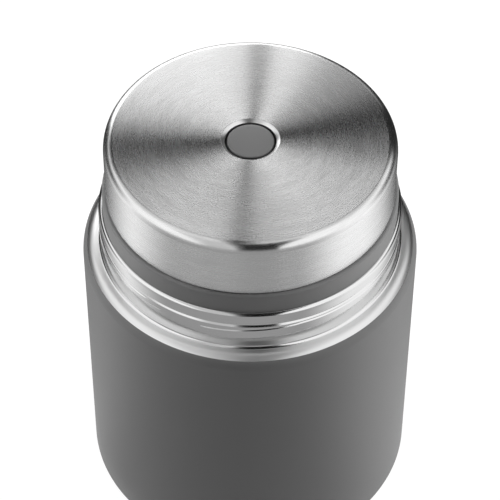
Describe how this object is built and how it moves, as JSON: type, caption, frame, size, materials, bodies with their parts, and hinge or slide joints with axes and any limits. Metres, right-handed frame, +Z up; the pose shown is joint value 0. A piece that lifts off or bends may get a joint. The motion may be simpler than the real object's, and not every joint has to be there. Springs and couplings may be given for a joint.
{
  "type": "insulated food jar",
  "caption": "Round vacuum-insulated food jar with a coated wall, a bare steel screw neck and a screw-in stopper with a steel cap and a press vent.",
  "frame": {"origin": "centre of the base, on the plane the jar stands on", "axes": "+Z up along the jar's axis, -Y towards the pictured front"},
  "size_m": [0.1, 0.1, 0.134],
  "materials": {
    "wall_coat": "matte dark grey powder coat on steel",
    "polished_steel": "polished bare stainless steel",
    "brushed_steel": "spun-brushed stainless steel",
    "plain_steel": "plain rolled stainless steel",
    "grey_plastic": "matte moulded dark grey plastic",
    "dark_plastic": "moulded near-black plastic",
    "pale_plastic": "moulded pale grey plastic",
    "dark_silicone": "matte dark silicone rubber",
    "clear_silicone": "milky silicone rubber",
    "foam": "pale rigid foam",
    "copper_foil": "bright copper foil",
    "solder": "dull solder",
    "getter_pellet": "sintered dark metal powder"
  },
  "bodies": {
    "flask": {"base_pad": "dark_silicone", "base_cover": "brushed_steel", "shell_bottom": "plain_steel", "sealing_bead": "solder", "getter_holder": "plain_steel", "getter": "getter_pellet", "outer_shell": "wall_coat", "inner_vessel": "polished_steel", "radiation_foil": "copper_foil"},
    "seal_ring": {"main_seal": "clear_silicone"},
    "stopper": {"stopper_body": "grey_plastic", "stopper_floor": "pale_plastic", "foam_insert": "foam", "cap_carrier": "dark_plastic", "lid_cap": "brushed_steel", "guide_bush": "dark_plastic", "spring_seat": "plain_steel", "vent_spring": "plain_steel"},
    "vent": {"vent_button": "grey_plastic", "vent_stem": "pale_plastic", "vent_seal": "clear_silicone", "seal_retainer": "pale_plastic", "retaining_clip": "plain_steel"}
  },
  "joints": [
    {"name": "stopper_rise", "type": "slide", "parent": "flask", "child": "seal_ring", "axis": [0, 0, 1], "range_m": [0, 0.024]},
    {"name": "stopper_turn", "type": "hinge", "parent": "seal_ring", "child": "stopper", "pos_m": [0, 0, 0.108], "axis": [0, 0, 1], "range_deg": [0, 720]},
    {"name": "vent_press", "type": "slide", "parent": "stopper", "child": "vent", "axis": [0, 0, -1], "range_m": [0, 0.0025], "stiffness_N_per_m": 800, "springref_m": -0.0025, "deforming": ["vent_spring"]}
  ],
  "couplings": [
    {"joint": "stopper_rise", "follows": "stopper_turn", "m_per_rad": 0.0019099}
  ]
}
